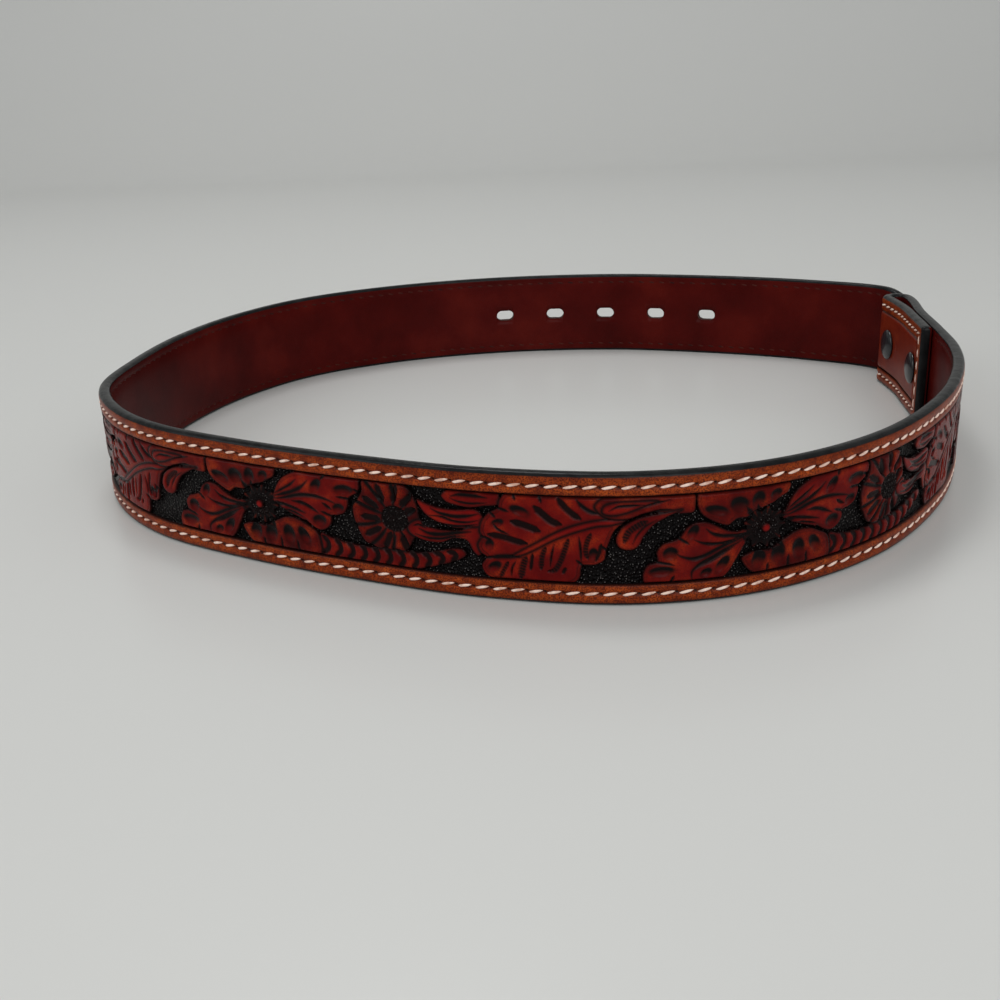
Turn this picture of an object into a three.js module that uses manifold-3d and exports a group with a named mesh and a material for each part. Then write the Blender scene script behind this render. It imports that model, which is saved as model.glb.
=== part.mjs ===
// A western tooled leather belt that stands on its lower edge in a loose ring, in millimetres with +Z up.
// The strap is two plies stitched together, a carved outer one and a smooth lining. Its buckle end folds
// back inside the ring into a loop for a buckle bar, held shut by two press snaps. The rounded tip, with
// the tongue holes behind it, laps the outside of that loop. The origin is the middle of the belt's box,
// on the surface that it stands on.
import * as THREE from "three";
import { mergeVertices } from "three/addons/utils/BufferGeometryUtils.js";
import Module from "manifold-3d";

// The strap
const strapWidth = 38.1;
const carvedThickness = 2.6;
const liningThickness = 1.1;
const glueGap = 0.3;
const carvedBevel = 0.9;
const liningBevel = 0.5;

// The belt's length, from the far end of the buckle loop to the tip
const beltLength = 990;
const tipOverlap = 8;
const tipRounding = 24;
const lapGap = 0.5;
const lapRun = 50;

// The buckle loop and its flap
const loopGap = 4.6;
const flapGap = 0.6;
const flapEase = 32;
const loopToSnap = 18;
const snapPitch = 40.4;
const snapToCutEnd = 12;

// The tongue holes, the first one nearest the tip
const holeCount = 5;
const holeLength = 8.5;
const holeHeight = 5;
const holePitch = 25.4;
const tipToHole = 107;

// The press snaps
const capRadius = 6.25;
const capHeight = 2;
const capRim = 0.6;
const barrelRadius = 4;
const socketRadius = 3.1;
const socketDepth = 2.8;
const studRadius = 2.4;
const neckRadius = 1.9;
const studReach = 2;
const headRadius = 4.5;
const headHeight = 1.1;
const snapClearance = 0.3;

// Fineness of the faceted strap
const sampling = 1;
const longestStep = 9;
const sharpestTurn = THREE.MathUtils.degToRad(6);
const loopSteps = 12;
const tipSteps = 9;
const domeSteps = 5;
const bluntTip = 0.12;

// The ring's middle line, clockwise from above, starting where the strap leaves the buckle loop.
// bearing is in degrees about the ring's middle, and reach is a share of the ring's size.
const ringShape = [
  { bearing: 22.6, reach: 1.106 },
  { bearing: 12.5, reach: 1.013 },
  { bearing: 2, reach: 0.966 },
  { bearing: -10, reach: 0.947 },
  { bearing: -22, reach: 0.94 },
  { bearing: -38, reach: 0.95 },
  { bearing: -55, reach: 0.979 },
  { bearing: -70, reach: 0.992 },
  { bearing: -84, reach: 0.975 },
  { bearing: -100, reach: 0.932 },
  { bearing: -116, reach: 0.91 },
  { bearing: -132, reach: 0.937 },
  { bearing: -146, reach: 0.997 },
  { bearing: -157, reach: 1.032 },
  { bearing: -168, reach: 1.046 },
  { bearing: -180, reach: 1.019 },
  { bearing: -196, reach: 1.01 },
  { bearing: -212, reach: 1.017 },
  { bearing: -227, reach: 1.02 },
  { bearing: -245, reach: 0.988 },
  { bearing: -265, reach: 0.966 },
  { bearing: -285, reach: 0.976 },
  { bearing: -300, reach: 1.0 },
  { bearing: -312, reach: 1.047 },
  { bearing: -321, reach: 1.095 },
  { bearing: -328.5, reach: 1.126 },
  { bearing: -333, reach: 1.118 },
];

// Worked out from the sizes above
const strapThickness = carvedThickness + glueGap + liningThickness;
const halfThickness = strapThickness / 2;
const bendRadius = (strapThickness + loopGap) / 2;
const loopReach = bendRadius + halfThickness;
const flapRun = loopToSnap + snapPitch + snapToCutEnd - loopReach;
const snapPlaces = [loopToSnap - loopReach, loopToSnap + snapPitch - loopReach];
const ringLength = beltLength - tipOverlap;
const tipEnd = ringLength - loopReach + tipOverlap;
const lapEnd = ringLength - loopReach - lapGap;
const UP = new THREE.Vector3(0, 0, 1);

const wasm = await Module();
wasm.setup();

function closedRing(length) {
  const points = ringShape.map(({ bearing, reach }) => {
    const angle = THREE.MathUtils.degToRad(bearing);
    return new THREE.Vector3(reach * Math.cos(angle), reach * Math.sin(angle), 0);
  });
  const curve = new THREE.CatmullRomCurve3(points, true, "centripetal");
  curve.arcLengthDivisions = 2000;
  const scale = length / curve.getLength();
  points.forEach((point) => point.multiplyScalar(scale));
  curve.updateArcLengths();
  return curve;
}

const ring = closedRing(ringLength);

// The ring's middle line at a distance from the buckle loop.
function ringAt(distance) {
  const share = THREE.MathUtils.euclideanModulo(distance / ringLength, 1);
  const ahead = ring.getTangentAt(share);
  return { point: ring.getPointAt(share), ahead, outward: new THREE.Vector3(-ahead.y, ahead.x, 0) };
}

// The space between the strap and its flap, which closes away from the loop.
function gapAt(distance) {
  return THREE.MathUtils.lerp(loopGap, flapGap, THREE.MathUtils.smoothstep(distance, 0, flapEase));
}

// The middle line of the flap, inside the ring.
function flapPoint(distance) {
  const { point, outward } = ringAt(distance);
  return point.addScaledVector(outward, -strapThickness - gapAt(distance));
}

// The middle line of the strap, whose tip moves outwards until it clears the loop that it laps.
function strapPoint(distance) {
  const { point, outward } = ringAt(distance);
  const lapping = THREE.MathUtils.smoothstep(distance, lapEnd - lapRun, lapEnd);
  return point.addScaledVector(outward, (strapThickness + lapGap) * lapping);
}

// The direction in which a middle line runs at a place.
function headingAt(pointAt, place) {
  return pointAt(place + sampling / 2).sub(pointAt(place - sampling / 2)).normalize();
}

// Places along a stretch of a middle line, closer together where it turns.
function stepsAlong(pointAt, from, to) {
  const places = [from];
  let last = headingAt(pointAt, from);
  for (let place = from + sampling; place < to - sampling; place += sampling) {
    const heading = headingAt(pointAt, place);
    if (place - places.at(-1) < longestStep && heading.angleTo(last) < sharpestTurn) continue;
    places.push(place);
    last = heading;
  }
  return [...places, to];
}

// The strap's middle line from the flap's cut end round the loop and the ring to the tip, with half its
// height at each place.
function strapLine() {
  const halfHeight = strapWidth / 2;
  const line = [];
  for (const place of stepsAlong(flapPoint, 0, flapRun).reverse())
    line.push({ point: flapPoint(place), halfHeight });
  const { point, ahead, outward } = ringAt(0);
  const centre = point.clone().addScaledVector(outward, -bendRadius);
  for (let step = 1; step < loopSteps; step += 1) {
    const angle = (Math.PI * step) / loopSteps;
    const bent = centre.clone().addScaledVector(outward, -bendRadius * Math.cos(angle));
    line.push({ point: bent.addScaledVector(ahead, -bendRadius * Math.sin(angle)), halfHeight });
  }
  for (const place of stepsAlong(strapPoint, 0, tipEnd - tipRounding))
    line.push({ point: strapPoint(place), halfHeight });
  const lastAngle = Math.acos(bluntTip);
  for (let step = 1; step <= tipSteps; step += 1) {
    const angle = (lastAngle * step) / tipSteps;
    const place = tipEnd - tipRounding * (1 - Math.sin(angle) / Math.sin(lastAngle));
    line.push({ point: strapPoint(place), halfHeight: halfHeight * Math.cos(angle) });
  }
  return line;
}

// The direction that the strap's carved side faces at each place of its middle line.
function facings(line) {
  return line.map((_, index) => {
    const here = line[index].point;
    const before = index > 0 ? here.clone().sub(line[index - 1].point).normalize() : new THREE.Vector3();
    const after = line[index + 1] ? line[index + 1].point.clone().sub(here).normalize() : new THREE.Vector3();
    const ahead = before.add(after).normalize();
    return new THREE.Vector3(-ahead.y, ahead.x, 0);
  });
}

// Sweeps a ply's section along the strap. A corner is out from the middle line, and inset from the
// strap's upper edge or, where it isn't upper, from its lower edge.
function plyGeometry(line, corners) {
  const facing = facings(line);
  const positions = [];
  line.forEach(({ point, halfHeight }, index) => {
    for (const { out, inset, upper } of corners) {
      const rise = (upper ? 1 : -1) * (halfHeight - inset);
      const corner = point.clone().addScaledVector(facing[index], out);
      positions.push(corner.x, corner.y, strapWidth / 2 + rise);
    }
  });
  const around = corners.length;
  const faces = [];
  for (let index = 0; index < line.length - 1; index += 1)
    for (let side = 0; side < around; side += 1) {
      const here = index * around + side;
      const next = index * around + ((side + 1) % around);
      faces.push(here, next, next + around, here, next + around, here + around);
    }
  const end = (line.length - 1) * around;
  for (let side = 1; side < around - 1; side += 1) {
    faces.push(0, side + 1, side);
    faces.push(end, end + side, end + side + 1);
  }
  const geometry = new THREE.BufferGeometry();
  geometry.setAttribute("position", new THREE.Float32BufferAttribute(positions, 3));
  geometry.setIndex(faces);
  return geometry;
}

function solidOf(geometry) {
  const bare = geometry.clone();
  bare.deleteAttribute("normal");
  bare.deleteAttribute("uv");
  const merged = mergeVertices(bare, 1e-4);
  const mesh = new wasm.Mesh({
    numProp: 3,
    vertProperties: merged.attributes.position.array,
    triVerts: new Uint32Array(merged.index.array),
  });
  return new wasm.Manifold(mesh);
}

function geometryOf(solid) {
  const { vertProperties, triVerts } = solid.getMesh();
  const geometry = new THREE.BufferGeometry();
  geometry.setAttribute("position", new THREE.BufferAttribute(vertProperties, 3));
  geometry.setIndex(new THREE.BufferAttribute(triVerts, 1));
  const faceted = geometry.toNonIndexed();
  faceted.computeVertexNormals();
  return faceted;
}

// A frame at mid height on a middle line, with its Z axis out of the ring and Y up.
function frameAt(pointAt, place) {
  const heading = headingAt(pointAt, place);
  const outward = new THREE.Vector3(-heading.y, heading.x, 0);
  const frame = new THREE.Matrix4().makeBasis(heading.negate(), UP, outward);
  return frame.setPosition(pointAt(place).setZ(strapWidth / 2));
}

function tongueHoleCutter(place) {
  const radius = holeHeight / 2;
  const reach = holeLength / 2 - radius;
  const shape = new THREE.Shape();
  shape.absarc(reach, 0, radius, -Math.PI / 2, Math.PI / 2);
  shape.absarc(-reach, 0, radius, Math.PI / 2, (3 * Math.PI) / 2);
  const depth = 3 * strapThickness;
  const cutter = new THREE.ExtrudeGeometry(shape, { depth, bevelEnabled: false, curveSegments: 8 });
  cutter.translate(0, 0, -depth / 2);
  return cutter.applyMatrix4(frameAt(strapPoint, place));
}

// A round bore at a snap, between two distances out from a middle line.
function snapBoreCutter(frame, radius, from, to) {
  const cutter = new THREE.CylinderGeometry(radius, radius, to - from, 24);
  cutter.rotateX(Math.PI / 2);
  cutter.translate(0, 0, (from + to) / 2);
  return cutter.applyMatrix4(frame);
}

function strapCutters() {
  const cutters = [];
  for (let hole = 0; hole < holeCount; hole += 1)
    cutters.push(tongueHoleCutter(tipEnd - tipToHole - hole * holePitch));
  for (const place of snapPlaces) {
    const reach = halfThickness + gapAt(place) / 2;
    const flapBore = barrelRadius + snapClearance;
    const strapBore = studRadius + snapClearance;
    cutters.push(snapBoreCutter(frameAt(flapPoint, place), flapBore, -strapThickness, reach));
    cutters.push(snapBoreCutter(frameAt(strapPoint, place), strapBore, -reach, strapThickness));
  }
  return cutters.map(solidOf);
}

function leather(name, corners, colour, roughness) {
  let solid = solidOf(plyGeometry(middleLine, corners));
  for (const cutter of cutters) solid = solid.subtract(cutter);
  const material = new THREE.MeshStandardMaterial({ color: colour, roughness, metalness: 0 });
  const mesh = new THREE.Mesh(geometryOf(solid), material);
  mesh.name = name;
  return mesh;
}

const middleLine = strapLine();
const cutters = strapCutters();

const carvedBack = halfThickness - carvedThickness;
const carvedCorners = [
  { out: carvedBack, inset: 0, upper: true },
  { out: carvedBack, inset: 0, upper: false },
  { out: halfThickness - carvedBevel, inset: 0, upper: false },
  { out: halfThickness, inset: carvedBevel, upper: false },
  { out: halfThickness, inset: carvedBevel, upper: true },
  { out: halfThickness - carvedBevel, inset: 0, upper: true },
];

const liningFront = liningThickness - halfThickness;
const liningCorners = [
  { out: liningFront, inset: 0, upper: false },
  { out: liningFront, inset: 0, upper: true },
  { out: liningBevel - halfThickness, inset: 0, upper: true },
  { out: -halfThickness, inset: liningBevel, upper: true },
  { out: -halfThickness, inset: liningBevel, upper: false },
  { out: liningBevel - halfThickness, inset: 0, upper: false },
];

// A cap sits on the flap's face, and its barrel, open to the stud, fills the flap's bore. Its profile
// runs outwards along its axis from the flap's middle line.
function capProfile() {
  const seat = -halfThickness - snapClearance;
  const floor = halfThickness - socketDepth;
  const profile = [];
  for (let step = 0; step <= domeSteps; step += 1) {
    const angle = (Math.PI * step) / (2 * domeSteps);
    const rise = (capHeight - capRim) * Math.cos(angle);
    profile.push(new THREE.Vector2(capRadius * Math.sin(angle), seat - capRim - rise));
  }
  profile.push(new THREE.Vector2(capRadius, seat));
  profile.push(new THREE.Vector2(barrelRadius, seat));
  profile.push(new THREE.Vector2(barrelRadius, halfThickness));
  profile.push(new THREE.Vector2(socketRadius, halfThickness));
  profile.push(new THREE.Vector2(socketRadius, floor));
  profile.push(new THREE.Vector2(0, floor));
  return profile;
}

// A stud passes through the strap from a head on its carved side, across the gap and into the cap. Its
// profile runs outwards along its axis from the strap's middle line.
function studProfile(gap) {
  const tip = -halfThickness - gap - studReach;
  const seat = halfThickness + snapClearance;
  return [
    new THREE.Vector2(0, tip),
    new THREE.Vector2(neckRadius, tip),
    new THREE.Vector2(studRadius, tip + studReach / 2),
    new THREE.Vector2(neckRadius, tip + studReach),
    new THREE.Vector2(neckRadius, seat),
    new THREE.Vector2(headRadius, seat),
    new THREE.Vector2(headRadius, seat + headHeight / 2),
    new THREE.Vector2(headRadius - headHeight / 2, seat + headHeight),
    new THREE.Vector2(0, seat + headHeight),
  ];
}

function snapPiece(name, profile, frame) {
  const geometry = new THREE.LatheGeometry(profile, 20);
  geometry.rotateX(Math.PI / 2);
  const material = new THREE.MeshStandardMaterial({ color: 0x111214, roughness: 0.35, metalness: 0.6 });
  const mesh = new THREE.Mesh(geometry, material);
  mesh.name = name;
  mesh.applyMatrix4(frame);
  return mesh;
}

const belt = new THREE.Group();
belt.add(leather("carved_strap", carvedCorners, 0x6e2416, 0.5));
belt.add(leather("lining_strap", liningCorners, 0x3c0d0b, 0.35));
snapPlaces.forEach((place, index) => {
  const stud = studProfile(gapAt(place));
  belt.add(snapPiece(`snap_cap_${index + 1}`, capProfile(), frameAt(flapPoint, place)));
  belt.add(snapPiece(`snap_stud_${index + 1}`, stud, frameAt(strapPoint, place)));
});

const box = new THREE.Box3().setFromObject(belt);
belt.position.set(-(box.min.x + box.max.x) / 2, -(box.min.y + box.max.y) / 2, 0);

export default belt;
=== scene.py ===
import math

import bpy
import numpy as np
from mathutils import Matrix, Vector


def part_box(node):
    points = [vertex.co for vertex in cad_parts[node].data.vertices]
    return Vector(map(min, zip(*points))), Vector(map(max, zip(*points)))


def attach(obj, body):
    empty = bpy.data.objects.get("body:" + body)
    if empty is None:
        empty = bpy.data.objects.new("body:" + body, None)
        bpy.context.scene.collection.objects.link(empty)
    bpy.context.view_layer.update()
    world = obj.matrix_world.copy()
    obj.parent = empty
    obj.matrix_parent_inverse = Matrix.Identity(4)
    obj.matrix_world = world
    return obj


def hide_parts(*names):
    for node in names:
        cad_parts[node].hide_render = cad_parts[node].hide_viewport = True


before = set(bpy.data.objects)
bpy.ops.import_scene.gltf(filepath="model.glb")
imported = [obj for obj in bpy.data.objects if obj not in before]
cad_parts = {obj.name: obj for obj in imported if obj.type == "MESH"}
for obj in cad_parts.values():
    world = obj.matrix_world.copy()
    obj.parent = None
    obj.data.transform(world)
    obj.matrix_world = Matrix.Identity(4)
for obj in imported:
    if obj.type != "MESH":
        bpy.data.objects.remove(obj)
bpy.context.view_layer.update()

# The camera stands in front of the belt and a little above it, as a hand-held one does, so it is also
# turned a little about its own axis.
camera_place = Vector((-0.02269, -0.44565, 0.14171))
camera_pitch = math.radians(20.4526)
camera_roll = math.radians(-2.2553)
camera_data = bpy.data.cameras.new("camera")
camera_data.lens = 42.84
camera_data.sensor_width = 36
camera = bpy.data.objects.new("camera", camera_data)
bpy.context.collection.objects.link(camera)
camera.matrix_world = (Matrix.Translation(camera_place) @ Matrix.Rotation(math.pi / 2 - camera_pitch, 4, "X")
                       @ Matrix.Rotation(camera_roll, 4, "Z"))
bpy.context.scene.camera = camera

# The studio is a plain pale table that sweeps up into a wall, in soft light from all round. One lamp hangs
# behind and above the belt, and two stand in front. Colours are shown as they are, with no film look.
bpy.context.scene.view_settings.view_transform = "Standard"
table_reach = 1.6
table_bend = 0.5
table_spread = 4
lamp_target = Vector((0, 0, 0.02))
bpy.ops.object.select_all(action="DESELECT")
bpy.ops.mesh.primitive_plane_add(size=2 * table_reach)
table = bpy.context.object
table.name = "table"
for corner in table.data.vertices:
    corner.co.x *= table_spread
    corner.co.y *= table_spread if corner.co.y < 0 else 1
bpy.ops.object.mode_set(mode="EDIT")
bpy.ops.mesh.select_all(action="DESELECT")
bpy.ops.object.mode_set(mode="OBJECT")
for edge in table.data.edges:
    edge.select = all(table.data.vertices[corner].co.y > 0 for corner in edge.vertices)
bpy.ops.object.mode_set(mode="EDIT")
bpy.ops.mesh.extrude_region_move(TRANSFORM_OT_translate={"value": (0, 0, 2 * table_reach)})
bpy.ops.object.mode_set(mode="OBJECT")
sweep = table.modifiers.new("sweep", "BEVEL")
sweep.width = table_bend
sweep.segments = 24
sweep.angle_limit = math.radians(30)
bpy.ops.object.modifier_apply(modifier="sweep")
bpy.ops.object.shade_smooth()
table_finish = bpy.data.materials.new("pale_table")
table_finish.use_nodes = True
table_shader = table_finish.node_tree.nodes["Principled BSDF"]
table_shader.inputs["Base Color"].default_value = (0.62, 0.62, 0.6, 1)
table_shader.inputs["Roughness"].default_value = 0.28
table.data.materials.append(table_finish)

for lamp_name, lamp_place, size, power in (
    ("lamp_behind", (-0.2, 0.5, 1.5), 0.5, 6),
    ("lamp_left", (-1.2, -0.4, 0.9), 0.8, 4),
    ("lamp_front", (0.3, -1.4, 1.0), 1.2, 12),
):
    lamp_data = bpy.data.lights.new(lamp_name, "AREA")
    lamp_data.size = size
    lamp_data.energy = power
    lamp = bpy.data.objects.new(lamp_name, lamp_data)
    bpy.context.collection.objects.link(lamp)
    lamp.location = lamp_place
    lamp.rotation_euler = (lamp_target - Vector(lamp_place)).to_track_quat("-Z", "Y").to_euler()
world = bpy.data.worlds.new("studio")
world.use_nodes = True
world.node_tree.nodes["Background"].inputs["Color"].default_value = (0.85, 0.87, 0.88, 1)
world.node_tree.nodes["Background"].inputs["Strength"].default_value = 0.55
bpy.context.scene.world = world

# The border of the carved ply. The belt's outer ply is thick vegetable-tanned leather, dyed orange-brown
# along its edges, with a groove that the stitches lie in. It is cut flat, with a rounded tip and a square
# end, and then bent round with the rest of the belt. All sizes of the strap are in millimetres.
strap_width = 38.1
half_width = strap_width / 2
half_thickness = 2.0
strap_thickness = 2 * half_thickness
glue_line = -0.76
belt_length = 990.0
tip_overlap = 8.0
tip_rounding = 24.0
corner_radius = 1.6
lap_gap = 0.5
lap_run = 50.0
loop_gap = 4.6
flap_gap = 0.6
flap_ease = 32.0
loop_to_snap = 18.0
snap_pitch = 40.4
snap_to_cut_end = 12.0
stitch_inset = 3.65
wanted_stitch_pitch = 5.08
border_inset = 6.45

# Each row of the ring's shape is a bearing in degrees and a reach, as a share of the ring's size.
ring_shape = (
    (22.6, 1.106), (12.5, 1.013), (2, 0.966), (-10, 0.947), (-22, 0.94), (-38, 0.95), (-55, 0.979),
    (-70, 0.992), (-84, 0.975), (-100, 0.932), (-116, 0.91), (-132, 0.937), (-146, 0.997),
    (-157, 1.032), (-168, 1.046), (-180, 1.019), (-196, 1.01), (-212, 1.017), (-227, 1.02),
    (-245, 0.988), (-265, 0.966), (-285, 0.976), (-300, 1.0), (-312, 1.047), (-321, 1.095),
    (-328.5, 1.126), (-333, 1.118),
)
ring_length = belt_length - tip_overlap
bend_radius = (strap_thickness + loop_gap) / 2
loop_reach = bend_radius + half_thickness
flap_run = loop_to_snap + snap_pitch + snap_to_cut_end - loop_reach
snap_places = (loop_to_snap - loop_reach, loop_to_snap + snap_pitch - loop_reach)
tip_end = ring_length - loop_reach + tip_overlap
lap_end = ring_length - loop_reach - lap_gap


def smooth_line(points, closed=False, steps=8):
    """Closely spaced points of the smooth line that runs through a few given ones."""
    points = np.asarray(points, float)
    if closed:
        before, start, end, after = (np.roll(points, shift, axis=0) for shift in (1, 0, -1, -2))
    else:
        padded = np.vstack([2 * points[0] - points[1], points, 2 * points[-1] - points[-2]])
        before, start, end, after = padded[:-3], padded[1:-2], padded[2:-1], padded[3:]
    first, span, last = (np.sum((b - a) ** 2, axis=1)[:, None] ** 0.25
                         for a, b in ((before, start), (start, end), (end, after)))
    leaving = end - start + ((start - before) / first - (end - before) / (first + span)) * span
    arriving = end - start + ((after - end) / last - (after - start) / (span + last)) * span
    share = (np.arange(steps) / steps)[:, None, None]
    line = (start + leaving * share + (3 * (end - start) - 2 * leaving - arriving) * share**2
            + (2 * (start - end) + leaving + arriving) * share**3)
    line = line.transpose(1, 0, 2).reshape(-1, 2)
    return line if closed else np.vstack([line, points[-1]])


def lengths_along(line):
    """How far along a line each of its points lies."""
    return np.concatenate([[0], np.cumsum(np.linalg.norm(np.diff(line, axis=0), axis=1))])


def soft_step(share):
    share = np.clip(share, 0, 1)
    return share * share * (3 - 2 * share)


bearings, reaches = np.radians([row[0] for row in ring_shape]), np.array([row[1] for row in ring_shape])
ring = smooth_line(np.stack([reaches * np.cos(bearings), reaches * np.sin(bearings)], axis=1), True, 200)
ring = np.vstack([ring, ring[0]])
ring *= ring_length / lengths_along(ring)[-1]
ring_run = lengths_along(ring)


def ring_point(distance):
    distance = np.mod(distance, ring_length)
    return np.stack([np.interp(distance, ring_run, ring[:, axis]) for axis in (0, 1)], axis=-1)


def beside_ring(distance, outwards):
    """Points beside the ring's middle line, at distances along it and out of it."""
    ahead = ring_point(distance + 0.5) - ring_point(distance - 0.5)
    ahead /= np.linalg.norm(ahead, axis=-1, keepdims=True)
    outward = np.stack([-ahead[..., 1], ahead[..., 0]], axis=-1)
    return ring_point(distance) + outward * np.asarray(outwards)[..., None]


# The strap's middle line, from the cut end of the flap round the loop and the ring to the tip
flap_places = np.linspace(flap_run, 0, 260)
flap_out = -strap_thickness - loop_gap + (loop_gap - flap_gap) * soft_step(flap_places / flap_ease)
loop_turn = np.linspace(0, math.pi, 60)[1:-1, None]
loop_middle, loop_start = beside_ring(np.zeros(1), [-bend_radius]), ring_point(np.zeros(1))
loop_outward = (loop_start - loop_middle) / bend_radius
loop_ahead = np.stack([loop_outward[:, 1], -loop_outward[:, 0]], axis=1)
loop_line = loop_middle - bend_radius * (np.cos(loop_turn) * loop_outward + np.sin(loop_turn) * loop_ahead)
strap_places = np.linspace(0, tip_end, 4000)
strap_out = (strap_thickness + lap_gap) * soft_step((strap_places - lap_end + lap_run) / lap_run)
middle_line = np.vstack([beside_ring(flap_places, flap_out), loop_line, beside_ring(strap_places, strap_out)])
bench = lengths_along(middle_line)
facing = np.gradient(middle_line, bench, axis=0)[:, ::-1] * (-1, 1)
facing /= np.linalg.norm(facing, axis=1, keepdims=True)
bench_length = bench[-1]
strap_bench = bench[-len(strap_places):]
flap_bench = bench[:len(flap_places)]


def on_strap(place):
    """Where a place of the ring lies along the flat strap."""
    return float(np.interp(place, strap_places, strap_bench))


def on_flap(place):
    return float(np.interp(place, flap_places[::-1], flap_bench[::-1]))


def bend(flat):
    """Takes points of the flat strap, along it, across it and out of its carved face, round the ring."""
    along, across, out = np.moveaxis(np.asarray(flat, float), -1, 0)
    x, y = (np.interp(along, bench, middle_line[:, axis]) + out * np.interp(along, bench, facing[:, axis])
            for axis in (0, 1))
    return np.stack([x + belt_shift[0], y + belt_shift[1], across + half_width], axis=-1) / 1000


# The ring is centred as the solids are.
carved_low, carved_high = (np.array(corner[:2]) * 1000 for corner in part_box("carved_strap"))
outer_face = middle_line + half_thickness * facing
belt_shift = (carved_low + carved_high - outer_face.min(axis=0) - outer_face.max(axis=0)) / 2


end_points = 760
corner_points = 7
tip_points = 1201


def outline(inset):
    """The flat strap's outline, set in from its edge, from the top of the cut end round to itself."""
    radius = max(corner_radius - inset, 0)
    half = half_width - inset
    reach = bench_length - tip_rounding
    across = np.clip(np.linspace(half_width, -half_width, end_points), radius - half, half - radius)
    along = np.maximum(np.arange(0, reach, 0.05), inset + radius)
    turn = np.linspace(0, math.pi / 2, corner_points)
    corner = np.stack([inset + radius * (1 - np.cos(turn)), -half + radius * (1 - np.sin(turn))], axis=1)
    round_tip = np.linspace(-math.pi / 2, math.pi / 2, tip_points)
    inward = np.stack([np.cos(round_tip) / tip_rounding, np.sin(round_tip) / half_width], axis=1)
    inward /= -np.linalg.norm(inward, axis=1, keepdims=True)
    tip = np.stack([reach + tip_rounding * np.cos(round_tip), half_width * np.sin(round_tip)], axis=1)
    return np.vstack([
        np.stack([np.full(len(across), inset), across], axis=1),
        corner,
        np.stack([along, np.full(len(along), -half)], axis=1),
        tip + inset * inward,
        np.stack([along[::-1], np.full(len(along), half)], axis=1),
        corner[::-1] * (1, -1),
    ])


def loft(name, sections, closed=False):
    """Joins the sections of a piece, one after another, into one closed mesh and bends it round the ring."""
    sections = np.asarray(sections)
    stations, around = sections.shape[:2]
    numbers = np.arange(stations * around).reshape(stations, around)
    here = numbers if closed else numbers[:-1]
    ahead = np.roll(numbers, -1, axis=0) if closed else numbers[1:]
    sides = [here, np.roll(here, -1, axis=1), np.roll(ahead, -1, axis=1), ahead]
    faces = np.stack(sides, axis=-1).reshape(-1, 4).tolist()
    if not closed:
        faces += [numbers[0][::-1].tolist(), numbers[-1].tolist()]
    mesh = bpy.data.meshes.new(name)
    mesh.from_pydata(bend(sections.reshape(-1, 3)).tolist(), [], faces)
    piece = bpy.data.objects.new(name, mesh)
    bpy.context.collection.objects.link(piece)
    return piece


def pick(piece):
    """Makes a piece the active one and the only one that is selected."""
    bpy.ops.object.select_all(action="DESELECT")
    bpy.context.view_layer.objects.active = piece
    piece.select_set(True)


def finish_mesh(piece, sharp_angle):
    """Merges what meets, turns the faces outwards and smooths the shading between them."""
    pick(piece)
    bpy.ops.object.mode_set(mode="EDIT")
    bpy.ops.mesh.select_all(action="SELECT")
    bpy.ops.mesh.remove_doubles(threshold=0.000002)
    bpy.ops.mesh.normals_make_consistent(inside=False)
    bpy.ops.object.mode_set(mode="OBJECT")
    bpy.ops.object.shade_smooth_by_angle(angle=math.radians(sharp_angle))


def store_dye_and_painted_light(piece, values):
    """Keeps how dark, how deep in the ground and how red each point is, painted shade and highlights
    included, for the material to read.
    """
    attribute = piece.data.attributes.new("dye_and_painted_light", "FLOAT_COLOR", "POINT")
    values = np.concatenate([values, np.ones(values.shape[:-1] + (1,))], axis=-1)
    attribute.data.foreach_set("color", values.astype(np.float32).ravel())


def add_node(finish, kind, inputs=None, **settings):
    """Adds a node to a material, sets its options, and sets or links its inputs."""
    node = finish.node_tree.nodes.new(kind)
    for option, value in settings.items():
        setattr(node, option, value)
    for socket, value in (inputs or {}).items():
        if isinstance(value, bpy.types.NodeSocket):
            finish.node_tree.links.new(value, node.inputs[socket])
        else:
            node.inputs[socket].default_value = value
    return node


def ramp(finish, share, stops):
    """Colours that run from one stop to the next as a share goes from 0 to 1."""
    node = add_node(finish, "ShaderNodeValToRGB", {"Fac": share})
    while len(node.color_ramp.elements) < len(stops):
        node.color_ramp.elements.new(1)
    for element, (position, colour) in zip(node.color_ramp.elements, stops):
        element.position = position
        element.color = (*colour, 1)
    return node.outputs["Color"]


def noise(finish, place, scale, detail):
    return add_node(finish, "ShaderNodeTexNoise",
                    {"Vector": place, "Scale": scale, "Detail": detail}).outputs["Fac"]


def mix(finish, share, first, second):
    """A colour that turns from the first into the second as a share goes from 0 to 1."""
    return add_node(finish, "ShaderNodeMix", {"Factor": share, "A": first, "B": second},
                    data_type="RGBA").outputs["Result"]


def bump(finish, height, strength, distance, **more):
    """A relief that is too fine for the mesh."""
    under = {"Normal": more.pop("under")} if "under" in more else {}
    return add_node(finish, "ShaderNodeBump",
                    {"Height": height, "Strength": strength, "Distance": distance, **under},
                    **more).outputs["Normal"]


def new_finish(name, roughness, gloss, coat=0.0, coat_roughness=0.3, colour=(0.8, 0.8, 0.8)):
    """A material with a plain colour and its sheen, all set on its shader."""
    finish = bpy.data.materials.new(name)
    finish.use_nodes = True
    for socket, value in (("Roughness", roughness), ("Specular IOR Level", gloss), ("Coat Weight", coat),
                          ("Coat Roughness", coat_roughness), ("Base Color", (*colour, 1))):
        finish.node_tree.nodes["Principled BSDF"].inputs[socket].default_value = value
    return finish


def own_place(finish):
    return add_node(finish, "ShaderNodeTexCoord").outputs["Object"]


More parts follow.
